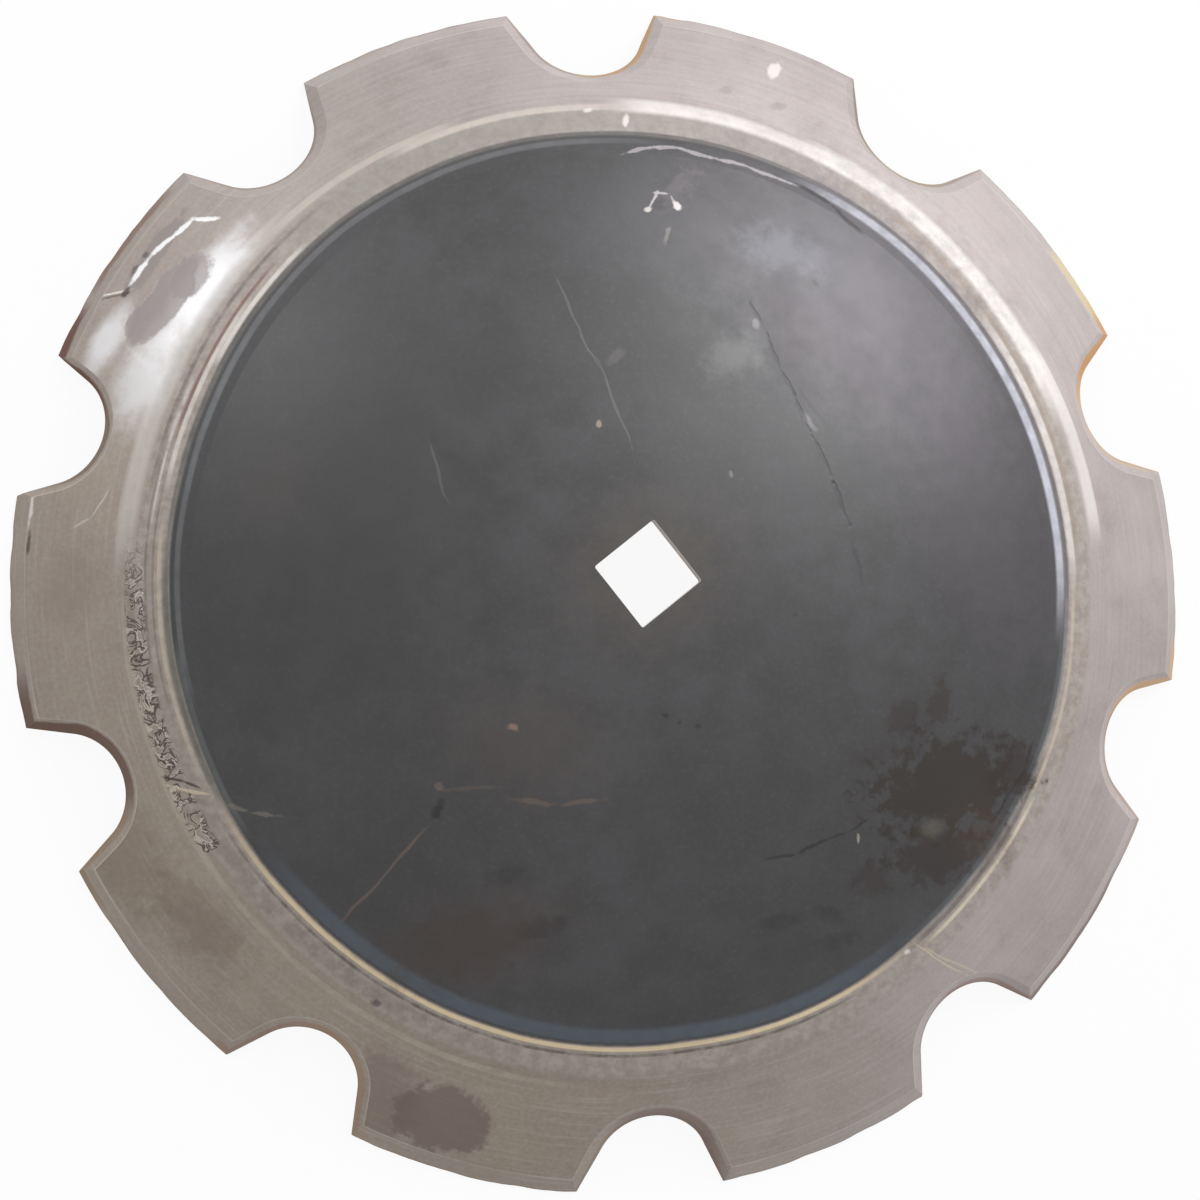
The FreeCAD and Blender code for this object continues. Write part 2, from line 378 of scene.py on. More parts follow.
@dataclass(frozen=True)
class Blot:
    """A soft patch, dent or scratch on the convex face, or a patch of painted sheen.

    Attributes:
        at: Place in the wear frame, in millimetres.
        half: Half its length and half its width, in millimetres.
        turn: Turn of its length from the wear frame's +X, in degrees.
        colour: Its colour.
        strength: How much of its colour it lays down, 0 to 1.
        soft: Width of its soft edge, as a share of its size.
        ragged: How far noise eats into its edge, as a share of its size.
        rough: What it adds to the roughness.
        height: What it adds to the surface, in millimetres.
    """

    at: Pair
    half: Pair
    turn: float
    colour: Colour
    strength: float = 0.6
    soft: float = 0.7
    ragged: float = 0.8
    rough: float = 0.0
    height: float = 0.0


def stroke(points: Sequence[Pair], width: float, colour: Colour, strength: float = 0.6,
           **more: float) -> list[Blot]:
    """Return a line of long thin blots from point to point.

    Args:
        points: Places in the wear frame, in millimetres.
        width: Its width, in millimetres.
        colour: Its colour.
        strength: How much of its colour it lays down.
        more: Other values of a blot.

    Returns:
        One blot for each run between two points.
    """
    blots = []
    for start, end in zip(points, points[1:]):
        along = Vector(end) - Vector(start)
        middle = (Vector(end) + Vector(start)) / 2
        blots.append(Blot(tuple(middle), (along.length * 0.58, width / 2),
                          math.degrees(math.atan2(along.y, along.x)), colour,
                          strength, **{"ragged": 0.5, **more}))
    return blots


@dataclass(frozen=True)
class Ring:
    """A line or band around the axis, whole or over part of the turn; some are painted highlight and some painted
    shade.

    Attributes:
        radius: Its middle, in millimetres.
        half: Half its width, in millimetres.
        colour: Its colour.
        strength: How much of its colour it lays down, 0 to 1.
        facing: Angle of its middle in the wear frame, in degrees.
        reach: How far it runs to each side of that, in degrees; 180 goes all round.
        fleck: How much noise breaks it up, 0 to 1.
        height: What it adds to the surface, in millimetres.
    """

    radius: float
    half: float
    colour: Colour
    strength: float = 0.6
    facing: float = 0.0
    reach: float = 180.0
    fleck: float = 0.25
    height: float = 0.0


PLATE_RINGS = (
    # The plate's rolled edge, the groove's inner wall, in painted light and shade: a painted highlight facing the key
    # light, and painted shade, down to slate, around the rest of the turn.
    Ring(226.0, 2.7, FROST, 0.85, 30, 34, 0.15, 0.0),
    Ring(225.6, 1.8, srgb(122, 122, 126), 0.6, 128, 40, 0.2),
    Ring(225.2, 1.5, srgb(116, 120, 122), 0.65, 170, 24, 0.2),
    Ring(227.3, 1.6, srgb(112, 118, 114), 0.55, 200, 12),
    Ring(225.2, 4.2, srgb(92, 102, 112), 0.75, 262, 44, 0.15),
    Ring(228.5, 2.4, srgb(104, 110, 112), 0.6, 332, 24),
    # The bottom of the groove, dark lines of painted shade.
    Ring(230.2, 1.5, srgb(104, 99, 99), 0.9, 30, 38, 0.15, -0.2),
    Ring(229.4, 2.0, srgb(92, 91, 90), 0.85, 120, 56, 0.15, -0.2),
    Ring(230.8, 1.6, srgb(98, 98, 90), 0.7, 192, 15, 0.2, -0.2),
    Ring(229.1, 0.8, INK, 0.7, 255, 50, 0.2, -0.2),
    Ring(232.3, 1.6, srgb(104, 96, 92), 0.7, 322, 15),
    # Its outer edge, bright lines of painted highlight where the groove's outer wall faces the lights.
    Ring(234.3, 2.4, CHALK, 0.75, 18, 17, 0.2, 0.1),
    Ring(232.6, 1.3, CHALK, 0.7, 143, 9, 0.2, 0.1),
    Ring(235.0, 1.3, srgb(222, 216, 210), 0.7, 156, 12, 0.3, 0.1),
    Ring(233.9, 1.1, BEIGE, 0.6, 188, 15, 0.3, 0.1),
    Ring(231.5, 1.3, GOLD, 1.0, 258, 46, 0.1, 0.15),
    Ring(236.3, 1.2, srgb(222, 210, 188), 0.85, 321, 11, 0.2, 0.1),
    Ring(234.2, 1.2, BEIGE, 0.6, 346, 15, 0.3),
    # Scores in the land.
    Ring(234.7, 0.9, UMBER, 0.6, 255, 45, 0.6, -0.1),
    Ring(237.0, 0.9, RUST, 0.75, 150, 12, 0.2, -0.1),
    Ring(242.2, 1.1, srgb(112, 102, 98), 0.7, 149, 20, 0.5, -0.15),
    Ring(239.3, 1.0, CHALK, 0.5, 164, 9, 0.8),
    Ring(240.3, 0.8, srgb(116, 106, 100), 0.6, 176, 14, 0.5, -0.1),
    Ring(236.8, 0.7, srgb(120, 110, 102), 0.55, 182, 14, 0.4, -0.1),
    Ring(237.8, 1.6, CLAY, 0.6, 30, 30, 0.2),
    Ring(238.0, 7.0, srgb(150, 147, 142), 0.55, 100, 36, 0.1),
    Ring(240.0, 4.0, srgb(124, 116, 108), 0.45, 226, 26, 0.7),
    # The shoulder, bands of painted highlight along its ridge, brightest toward the key light.
    Ring(251.5, 4.6, CHALK, 0.75, 18, 12, 0.1, 0.1),
    Ring(247.4, 5.6, srgb(240, 234, 230), 0.9, 44, 22, 0.1, 0.1),
    Ring(246.4, 4.4, srgb(236, 230, 226), 0.85, 74, 16, 0.15, 0.1),
    Ring(245.2, 2.0, srgb(216, 206, 196), 0.7, 104, 14, 0.2, 0.1),
    Ring(248.4, 2.0, srgb(210, 200, 190), 0.65, 122, 12, 0.2, 0.1),
    Ring(250.5, 5.0, srgb(214, 208, 202), 0.65, 155, 22, 0.15),
    Ring(250.5, 1.6, srgb(190, 178, 162), 0.55, 222, 40, 0.5, 0.1),
)

PLATE_MARKS = (
    # Broad changes of tone: the three lighter patches toward the key light are painted sheen on the dark plate, and
    # the plate is darker to the left.
    Blot((120, 150), (95, 62), -45, srgb(110, 105, 112), 0.55, 1.4, 0.6),
    Blot((175, 60), (100, 46), -72, srgb(96, 90, 98), 0.45, 1.4, 0.6),
    Blot((40, 175), (80, 34), -8, srgb(92, 90, 94), 0.4, 1.4, 0.6),
    Blot((-140, 30), (110, 70), 60, srgb(64, 64, 65), 0.55, 1.4, 0.4),
    Blot((80, 168), (24, 12), -20, srgb(118, 120, 128), 0.4, 1.2, 1.0),
    Blot((48, 110), (16, 11), 20, srgb(112, 113, 113), 0.4, 1.0),
    Blot((90, 122), (26, 15), -40, srgb(84, 76, 82), 0.35, 1.1, 1.2),
    Blot((118, 105), (22, 9), -60, srgb(86, 79, 85), 0.35, 1.1, 1.4),
    Blot((135, 88), (10, 5), -50, srgb(84, 80, 86), 0.35, 1.0, 1.4),
    Blot((0, 0), (46, 40), 35, srgb(98, 90, 80), 0.35, 1.2, 0.7),
    Blot((-60, -82), (40, 26), -10, srgb(92, 83, 77), 0.35, 1.3, 1.0),
    Blot((-85, -176), (46, 22), 15, srgb(76, 63, 54), 0.5, 1.2, 1.0),
    Blot((-180, 45), (22, 14), 60, RUST, 0.06, 1.2),
    # Fine light scratches.
    *stroke([(-40, 150), (-32, 128), (-22, 105), (-5, 60)], 1.3, STONE, 0.22),
    *stroke([(-105, 65), (-97, 38)], 2.0, STONE, 0.16),
    Blot((-22, 74), (1.4, 2.2), 0, BEIGE, 0.4),
    Blot((-12, 108), (6, 3), 30, STONE, 0.14),
    *stroke([(11, 187), (16, 195), (22, 195), (24, 189)], 1.4, srgb(190, 184, 188), 0.7,
            ragged=1.6),
    Blot((25, 189), (1.8, 2.4), 20, CHALK, 0.75, ragged=1.2),
    Blot((10, 186), (2.4, 1.4), 20, CHALK, 0.6, ragged=1.2),
    Blot((17, 189), (4.5, 3.0), 30, INK, 0.5, ragged=1.2),
    Blot((20, 172), (4, 1.4), 70, STONE, 0.45, ragged=1.6),
    Blot((28, 200), (16, 5), 50, srgb(112, 104, 108), 0.4, 1.0, 1.6),
    Blot((61, 128), (3.0, 1.6), 70, srgb(150, 146, 152), 0.4),
    Blot((86, 76), (6, 1.8), -60, srgb(142, 138, 144), 0.35),
    Blot((43, 50), (2.2, 1.2), 100, STONE, 0.45),
    *stroke([(0, 218), (16, 221), (30, 221), (46, 217), (62, 214), (88, 206)], 2.2,
            srgb(186, 179, 184), 0.6, ragged=0.9),
    *stroke([(-97, -103), (-70, -104)], 2.2, srgb(104, 94, 84), 0.4, ragged=1.2),
    *stroke([(-66, -108), (-44, -111), (-25, -110)], 2.4, srgb(114, 100, 88), 0.5,
            ragged=1.2),
    *stroke([(-204, -108), (-192, -112), (-178, -114)], 2.4, srgb(128, 124, 112), 0.55,
            ragged=1.2),
    *stroke([(-147, -166), (-125, -140), (-108, -122)], 1.5, srgb(122, 104, 94), 0.55),
    *stroke([(150, -186), (168, -192), (185, -200)], 1.4, BEIGE, 0.6),
    Blot((138, -188), (1.8, 1.6), 0, CHALK, 0.7),
    Blot((-67, -75), (2.8, 2.2), 0, srgb(150, 124, 110), 0.75),
    Blot((-103, -102), (2.2, 1.8), 0, srgb(118, 100, 92), 0.6),
    # Dark streaks, pits and stains.
    *stroke([(58, 142), (65, 125), (70, 105), (78, 90), (87, 68), (97, 48), (104, 26)],
            2.6, INK, 0.5, ragged=1.3, height=-0.1),
    *stroke([(106, 18), (109, 8), (112, -4)], 2.4, INK, 0.4, ragged=1.3),
    *stroke([(80, 96), (88, 84), (100, 70)], 2.0, INK, 0.25, ragged=1.4),
    *stroke([(92, 205), (108, 193), (126, 178)], 2.8, SOOT, 0.7, ragged=0.9),
    Blot((95, 150), (3, 1.8), -40, INK, 0.45),
    Blot((-103, -113), (5.5, 2.6), 60, SOOT, 0.7, ragged=1.2),
    Blot((-70, -145), (9, 4), 10, SOOT, 0.3, 1.1, 1.3),
    Blot((-50, -172), (12, 5), 5, SOOT, 0.3, 1.1, 1.3),
    Blot((158, -104), (42, 24), 12, srgb(58, 51, 46), 0.8, 0.5, 1.5),
    Blot((130, -70), (10, 7), 40, srgb(60, 53, 50), 0.6, 0.9, 1.5),
    Blot((152, -64), (7, 11), 0, srgb(60, 52, 48), 0.65, 0.7, 1.3),
    Blot((112, -90), (12, 7), 20, srgb(68, 62, 60), 0.4, 1.1, 1.4),
    Blot((118, -150), (12, 8), 0, srgb(60, 53, 48), 0.55, 0.9, 1.4),
    Blot((152, -138), (28, 15), 10, srgb(57, 50, 46), 0.7, 0.6, 1.4),
    Blot((196, -96), (16, 16), 0, srgb(58, 49, 46), 0.6, 0.8, 1.2),
    Blot((180, -130), (20, 14), -40, srgb(84, 66, 58), 0.35, 1.2, 1.2),
    Blot((150, -124), (8, 6), 0, srgb(104, 98, 90), 0.55, 0.9, 1.2),
    *stroke([(114, -121), (102, -126), (90, -130), (76, -136), (60, -140)], 1.6, SOOT,
            0.6, ragged=1.4),
    Blot((108, -130), (1.0, 3), 0, BEIGE, 0.45),
    Blot((8, -68), (2.0, 1.3), 0, SOOT, 0.6),
    Blot((15, -73), (1.5, 1.2), 0, SOOT, 0.5),
    Blot((25, -75), (1.8, 1.2), 0, SOOT, 0.5),
    Blot((75, -20), (1.6, 1.3), 0, SOOT, 0.4),
    Blot((68, -170), (12, 4), 10, SOOT, 0.3, 1.1, 1.3),
    Blot((95, -168), (9, 4), -10, SOOT, 0.3, 1.1, 1.3),
    Blot((100, -180), (11, 4), 10, SOOT, 0.3, 1.1, 1.3),
    *stroke([(207, -84), (203, -94), (198, -102), (185, -120)], 2.0, SOOT, 0.6,
            ragged=1.0),
)

BAND_MARKS = (
    # The polished tooth and its smears: the near-white patches are painted sheen over the polish's lower roughness,
    # and the grey smears are the tooth's own.
    Blot((-212, 147), (40, 11), 56, srgb(240, 240, 242), 0.85, 1.0, 0.35, -0.1),
    Blot((-240, 104), (28, 13), 66, srgb(232, 232, 234), 0.7, 1.1, 0.4, -0.08),
    Blot((-256, 124), (22, 7), 62, srgb(240, 240, 242), 0.75, 1.0, 0.3, -0.1),
    Blot((-230, 143), (27, 9.5), 55, srgb(152, 144, 143), 0.85, 0.2, 0.35, 0.06, -0.1),
    Blot((-217, 155), (13, 9), 50, srgb(156, 148, 147), 0.8, 0.25, 0.4, 0.06, -0.1),
    Blot((-233, 169), (25, 5), 55, srgb(146, 138, 135), 0.75, 0.3, 0.6, 0.06),
    *stroke([(-203, 186), (-215, 185), (-224, 177), (-237, 165), (-245, 154)], 2.6,
            srgb(250, 250, 250), 0.95, height=0.15, ragged=0.9),
    *stroke([(-267, 147), (-256, 149), (-245, 151)], 1.2, srgb(238, 232, 226), 0.8,
            height=0.1, ragged=1.0),
    *stroke([(-267, 145), (-256, 147), (-246, 149)], 1.2, srgb(112, 96, 88), 0.7,
            ragged=1.0),
    Blot((-247, 150), (3.2, 1.4), 55, srgb(84, 72, 68), 0.9, ragged=1.0),
    Blot((-238, 167), (2.4, 1.4), 55, srgb(96, 84, 82), 0.7, ragged=1.0),
    Blot((-243, 160), (2.8, 1.2), 60, srgb(96, 84, 82), 0.6, ragged=1.0),
    # Dents, cuts and stains elsewhere.
    Blot(polar(72, 287), (7, 3.2), 60, srgb(246, 240, 238), 0.6, 0.6, 1.0, 0, 0.1),
    Blot(polar(71, 265), (5, 2.4), 0, MAUVE, 0.3),
    Blot(polar(77, 265), (4, 2.4), 0, MAUVE, 0.3),
    Blot(polar(243, 283), (26, 24), 160, srgb(128, 113, 106), 0.6, 0.7, 0.6),
    Blot(polar(250, 281), (25, 17), 160, srgb(118, 102, 97), 0.75, 0.25, 0.5),
    Blot(polar(206, 285), (44, 20), -60, srgb(128, 114, 98), 0.5, 1.2, 0.8),
    Blot(polar(218, 270), (30, 16), 130, srgb(118, 104, 90), 0.5, 1.2, 0.8),
    Blot(polar(180, 275), (24, 14), 80, srgb(140, 126, 116), 0.4, 1.2, 0.8),
    *stroke([polar(308, 233), polar(311, 262), polar(314.5, 293)], 1.3, BEIGE, 0.7,
            height=-0.1),
    *stroke([polar(203, 250), polar(204.5, 243), polar(206, 234)], 2.0, BEIGE, 0.8,
            height=0.1),
    *stroke([polar(202, 250), polar(203.4, 242), polar(205, 236)], 1.6, UMBER, 0.8,
            height=-0.2),
    Blot(polar(238, 244), (2.6, 1.8), 0, INK, 0.6, ragged=1.2),
    Blot(polar(89, 236.5), (1.8, 4.0), 0, CHALK, 0.8, 1.0, 1.2),
    Blot(polar(94, 243), (3, 1.6), 10, CHALK, 0.7, 1.0, 1.2),
    Blot(polar(306, 233), (1.6, 1.6), 0, CHALK, 0.7),
    *stroke([polar(171, 297), polar(174, 298)], 1.6, CHALK, 0.8, ragged=1.4),
    *stroke([polar(174.5, 297), polar(176.5, 298)], 1.8, UMBER, 0.7, ragged=1.4),
    *stroke([polar(170, 262), polar(173, 268), polar(174, 276)], 1.4, CHALK, 0.35),
)


@dataclass(frozen=True)
class Stain:
    """A colour on the cut wall of a notch, or on the ground edge, over part of the turn.

    Attributes:
        facing: Angle of its middle in the wear frame, in degrees.
        reach: How far it runs to each side of that, in degrees.
        colour: Its colour.
        strength: How much of its colour it lays down, 0 to 1.
        depth: How far up the sheet it comes from the hollow face, in millimetres.
    """

    facing: float
    reach: float
    colour: Colour
    strength: float
    depth: float


EDGE_STAINS = (
    Stain(26, 5, OCHRE, 0.9, 2.6),
    Stain(18, 6, srgb(206, 176, 140), 0.6, 1.8),
    Stain(350, 5, srgb(206, 166, 120), 0.8, 2.6),
    Stain(340, 7, srgb(170, 138, 118), 0.6, 2.0),
    Stain(88, 6, srgb(190, 150, 100), 0.7, 1.4),
    Stain(62, 4, srgb(120, 100, 90), 0.5, 1.4),
    Stain(56, 6, srgb(150, 128, 96), 0.5, 1.4),
    Stain(157, 5, srgb(104, 62, 50), 0.9, 2.8),
    Stain(165, 5, srgb(116, 96, 76), 0.8, 3.2),
    Stain(196, 8, srgb(104, 76, 62), 0.9, 3.6),
    Stain(207, 4, srgb(150, 122, 96), 0.6, 2.4),
    Stain(239, 5, srgb(160, 130, 104), 0.7, 3.0),
    Stain(232, 5, srgb(150, 116, 98), 0.6, 2.6),
    Stain(274, 6, srgb(128, 104, 98), 0.7, 3.2),
    Stain(312, 5, srgb(146, 112, 100), 0.6, 2.4),
    Stain(144, 6, srgb(126, 92, 76), 0.7, 2.4),
    Stain(323, 8, srgb(108, 84, 72), 0.7, 2.2),
    Stain(33, 4, srgb(214, 196, 140), 0.6, 4.0),
)


# ---------------------------------------------------------------- the blade


@dataclass(frozen=True)
class NotchWear:
    """How one notch differs from the punched shape.

    Attributes:
        swing: Turn about the blade's axis, in degrees.
        width: Its width as a share of the punched one.
        root: How far its root has moved outwards, in millimetres.
    """

    swing: float
    width: float
    root: float


@dataclass
class NotchedBlade:
    """The dished and notched sheet with its square hole. Sizes are in millimetres."""

    rim_radius: float = 304.8
    hollow_sphere: float = 620.65
    hollow_depth: float = 80.0
    sheet: float = 6.35
    plate_radius: float = 229.5
    step: Pair = (2.0, 0.6)
    land: float = 12.5
    shoulder: Pair = (9.0, 0.9)
    rim_bevel: float = 7.0
    rim_wall: float = 1.3
    around: int = 540
    hole_side: float = 38.1
    hole_corner: float = 1.2
    notch_place: float = 285.95
    notch_radius: float = 30.0
    notch_centre: float = 8.76
    notch_flare: float = 26.5
    notch_bevel: float = 12.0
    first_notch: float = 18.0
    notches: tuple[NotchWear, ...] = (
        NotchWear(-0.13, 1.07, -1.3), NotchWear(0.27, 1.0, -1.6),
        NotchWear(0.37, 1.02, 0.0), NotchWear(0.15, 0.99, 3.0),
        NotchWear(0.0, 0.98, 0.2), NotchWear(0.0, 0.97, 0.8),
        NotchWear(0.4, 0.97, -1.3), NotchWear(0.2, 1.01, 0.5),
        NotchWear(-0.1, 1.0, 0.2), NotchWear(-0.5, 1.0, -1.0))
    piece: bpy.types.Object = field(init=False, repr=False)

    @property
    def centre(self) -> Vector:
        """Return the middle of the dish's spheres, in millimetres."""
        return Vector((0, 0, self.hollow_depth - self.hollow_sphere))

    def height(self, radius: float, sphere: float) -> float:
        """Return the height of a sphere about the dish's middle at a radius."""
        return math.sqrt(sphere ** 2 - radius ** 2) + self.centre.z

    def convex_stations(self) -> list[Pair]:
        """Return the convex face's profile, from the middle out to the rim's wall."""
        outer = self.hollow_sphere + self.sheet
        stations = []

        def run(start: float, end: float, steps: int, sphere: float, drop: float) -> None:
            """Add stations from one radius to another, sinking smoothly by a drop."""
            for index in range(1, steps + 1):
                share = index / steps
                radius = start + (end - start) * share
                sunk = drop * share * share * (3 - 2 * share)
                stations.append((radius, self.height(radius, sphere - sunk)))

        run(12.0, self.plate_radius, 42, outer, 0.0)
        edge = self.plate_radius + self.step[0]
        run(self.plate_radius, edge, 4, outer, self.step[1])
        outer -= self.step[1]
        run(edge, edge + self.land, 7, outer, 0.0)
        edge += self.land
        run(edge, edge + self.shoulder[0], 6, outer, self.shoulder[1])
        outer -= self.shoulder[1]
        edge += self.shoulder[0]
        bevel = self.rim_radius - self.rim_bevel
        run(edge, bevel, 20, outer, 0.0)
        top = stations[-1][1]
        for share in (0.06, 0.5, 0.94, 1.0):
            stations.append((bevel + self.rim_bevel * share,
                             top + (self.rim_wall - top) * share))
        return stations

    def hollow_stations(self) -> list[Pair]:
        """Return the hollow face's profile, from the rim's wall in to the middle."""
        edge = self.rim_radius
        radii = [edge - 2.5 * index for index in range(24)]
        inner = radii[-1] - 12.0
        radii += [radii[-1] - inner * index / 20 for index in range(1, 21)]
        return [(radius, self.height(radius, self.hollow_sphere)) for radius in radii]

    def sheet_piece(self) -> bpy.types.Object:
        """Model the dished sheet, still whole, from one ring of edges.

        Returns:
            The sheet with a small ring open in its middle, where the hole comes.
        """
        radius, height = 12.0, self.height(12.0, self.hollow_sphere + self.sheet)
        bpy.ops.mesh.primitive_circle_add(vertices=self.around, radius=radius * MM,
                                          location=(0, 0, height * MM))
        piece = bpy.context.object
        piece.name = "dished_blade"
        place_in_mesh(piece)
        for finish in Finish:
            piece.data.materials.append(None)
        edit(piece, "EDGE")
        bpy.ops.mesh.select_all(action="SELECT")
        convex = self.convex_stations()
        for next_radius, next_height in convex + self.hollow_stations():
            bpy.ops.mesh.extrude_edges_move()
            scale = next_radius / radius
            bpy.ops.transform.resize(value=(scale, scale, 1), center_override=(0, 0, 0))
            bpy.ops.transform.translate(value=(0, 0, (next_height - height) * MM))
            radius, height = next_radius, next_height
        pick(piece, lambda at: at.xy.length < 13 * MM)
        bpy.ops.mesh.select_mode(type="EDGE")
        bpy.ops.mesh.region_to_loop()
        bpy.ops.mesh.bridge_edge_loops()
        bpy.ops.mesh.select_all(action="SELECT")
        bpy.ops.mesh.normals_make_consistent(inside=False)
        bpy.ops.object.mode_set(mode="OBJECT")
        bevel = (self.rim_radius - self.rim_bevel + 0.2) * MM
        for face in piece.data.polygons:
            middle = face.center
            depth = (middle - self.centre * MM).length - self.hollow_sphere * MM
            if middle.xy.length > bevel and depth > 0.05 * MM:
                face.material_index = Finish.EDGE.value
            elif depth < 2 * MM:
                face.material_index = Finish.HOLLOW.value
        return piece

    def notch_tool(self, number: int, wear: NotchWear) -> bpy.types.Object:
        """Model the shape that one notch takes out of the sheet.

        Args:
            number: The notch's number, from 0.
            wear: How it differs from the punched shape.

        Returns:
            A closed tool, in its place.
        """
        turn = math.radians(self.notch_flare)
        tangent = self.notch_centre - self.notch_radius * math.sin(turn)
        half = self.notch_radius * math.cos(turn)
        bpy.ops.mesh.primitive_circle_add(vertices=120, radius=self.notch_radius * MM,
                                          fill_type="NGON")
        tool = bpy.context.object
        tool.location.x = self.notch_centre * MM
        place_in_mesh(tool)
        edit(tool)
        bpy.ops.mesh.select_all(action="SELECT")
        bpy.ops.mesh.bisect(plane_co=(tangent * MM, 0, 0), plane_no=(1, 0, 0),
                            clear_outer=True)
        pick(tool, lambda at: at.x > (tangent - 0.01) * MM)
        reach = 70.0
        bpy.ops.mesh.extrude_edges_move(
            TRANSFORM_OT_translate={"value": (reach * MM, 0, 0)})
        wider = (half + reach * math.tan(turn)) / half
        bpy.ops.transform.resize(value=(1, wider, 1), center_override=(0, 0, 0))
        bpy.ops.mesh.select_all(action="SELECT")
        bpy.ops.mesh.extrude_region_move(
            TRANSFORM_OT_translate={"value": (0, 0, -30 * MM)})
        pick(tool, lambda at: at.z > -MM)
        bpy.ops.mesh.select_mode(type="FACE")
        rise = 12.0
        grown = 1 + self.notch_bevel * rise / self.sheet / self.notch_radius
        bpy.ops.mesh.extrude_region_move(
            TRANSFORM_OT_translate={"value": (0, 0, rise * MM)})
        bpy.ops.transform.resize(value=(grown, grown, 1),
                                 center_override=(self.notch_centre * MM, 0, 0))
        bpy.ops.mesh.select_all(action="SELECT")
        bpy.ops.mesh.normals_make_consistent(inside=False)
        bpy.ops.object.mode_set(mode="OBJECT")
        slope = math.asin(self.notch_place / self.hollow_sphere)
        height = self.height(self.notch_place, self.hollow_sphere)
        tool.scale.y = wear.width
        place_in_mesh(tool)
        tool.rotation_euler.y = slope
        tool.location = ((self.notch_place + wear.root) * MM, 0, height * MM)
        place_in_mesh(tool)
        tool.rotation_euler.z = math.radians(
            self.first_notch + 360 / len(self.notches) * number + wear.swing)
        place_in_mesh(tool)
        return tool

    def hole_tool(self) -> bpy.types.Object:
        """Model the shape that the square hole takes out of the sheet."""
        bpy.ops.mesh.primitive_cube_add(size=1, location=(0, 0, self.hollow_depth * MM))
        tool = bpy.context.object
        tool.scale = (self.hole_side * MM, self.hole_side * MM, 60 * MM)
        place_in_mesh(tool)
        edit(tool, "EDGE")
        bpy.ops.object.mode_set(mode="OBJECT")
        for edge in tool.data.edges:
            ends = [tool.data.vertices[end].co for end in edge.vertices]
            edge.select = (ends[0] - ends[1]).xy.length < MM
        bpy.ops.object.mode_set(mode="EDIT")
        bpy.ops.mesh.bevel(offset=self.hole_corner * MM, segments=6)
        bpy.ops.object.mode_set(mode="OBJECT")
        return tool

    def cut(self, sheet: bpy.types.Object) -> None:
        """Take the notches and the hole out of the sheet."""
        tools = [self.hole_tool()]
        tools += [self.notch_tool(number, wear)
                  for number, wear in enumerate(self.notches)]
        only(tools[0])
        for tool in tools:
            tool.select_set(True)
        bpy.ops.object.join()
        tool = tools[0]
        for finish in Finish:
            tool.data.materials.append(None)
        for face in tool.data.polygons:
            face.material_index = Finish.EDGE.value
        only(sheet)
        cutter = sheet.modifiers.new("cut", "BOOLEAN")
        cutter.operation = "DIFFERENCE"
        cutter.solver = "EXACT"
        cutter.object = tool
        cutter.material_mode = "INDEX"
        bpy.ops.object.modifier_apply(modifier=cutter.name)
        bpy.data.objects.remove(tool, do_unlink=True)

    def wear_down(self, piece: bpy.types.Object) -> None:
        """Give the convex face its slight waves and the rim its nicks, inwards only."""
        centre = self.centre * MM
        rim = self.rim_radius * MM
        for vertex in piece.data.vertices:
            at = vertex.co.copy()
            outward = (at - centre).normalized()
            depth = (at - centre).length - self.hollow_sphere * MM
            if depth > 2.5 * MM:
                wave = noise.fractal(at * 14, 1.0, 2.0, 3) * 0.5 + 0.5
                dent = noise.fractal(at * 60 + Vector((3, 5, 7)), 1.0, 2.0, 2) * 0.5 + 0.5
                sunk = 0.45 * min(max(wave, 0), 1) + 0.14 * min(max(dent, 0), 1)
                vertex.co -= outward * sunk * MM
            across = at.xy.length
            if across > rim - 2 * MM:
                worn = noise.fractal(at * 45 + Vector((9, 1, 4)), 1.0, 2.0, 4)
                inward = min(max(worn * 0.8 + 0.2, 0), 0.9) * MM
                vertex.co.x -= inward * at.x / across
                vertex.co.y -= inward * at.y / across

    def store_cut_distance(self, piece: bpy.types.Object) -> None:
        """Store each point's distance from the nearest cut or ground edge, in metres."""
        mesh = piece.data
        edge_points: set[int] = set()
        for face in mesh.polygons:
            if face.material_index == Finish.EDGE.value:
                edge_points.update(face.vertices)
        tree = kdtree.KDTree(len(edge_points))
        for index in edge_points:
            tree.insert(mesh.vertices[index].co, index)
        tree.balance()
        stored = mesh.attributes.new("cut_distance", "FLOAT", "POINT")
        for vertex in mesh.vertices:
            stored.data[vertex.index].value = tree.find(vertex.co)[2]

    def build(self) -> bpy.types.Object:
        """Model the blade, which dress later stands in for the frame's plain solid.

        Returns:
            The finished blade, before its finishes are given.
        """
        piece = self.sheet_piece()
        self.cut(piece)
        self.wear_down(piece)
        self.store_cut_distance(piece)
        only(piece)
        bpy.ops.object.shade_smooth_by_angle(angle=math.radians(17))
        self.piece = piece
        LOG.info("%s: %d faces", piece.name, len(piece.data.polygons))
        return piece

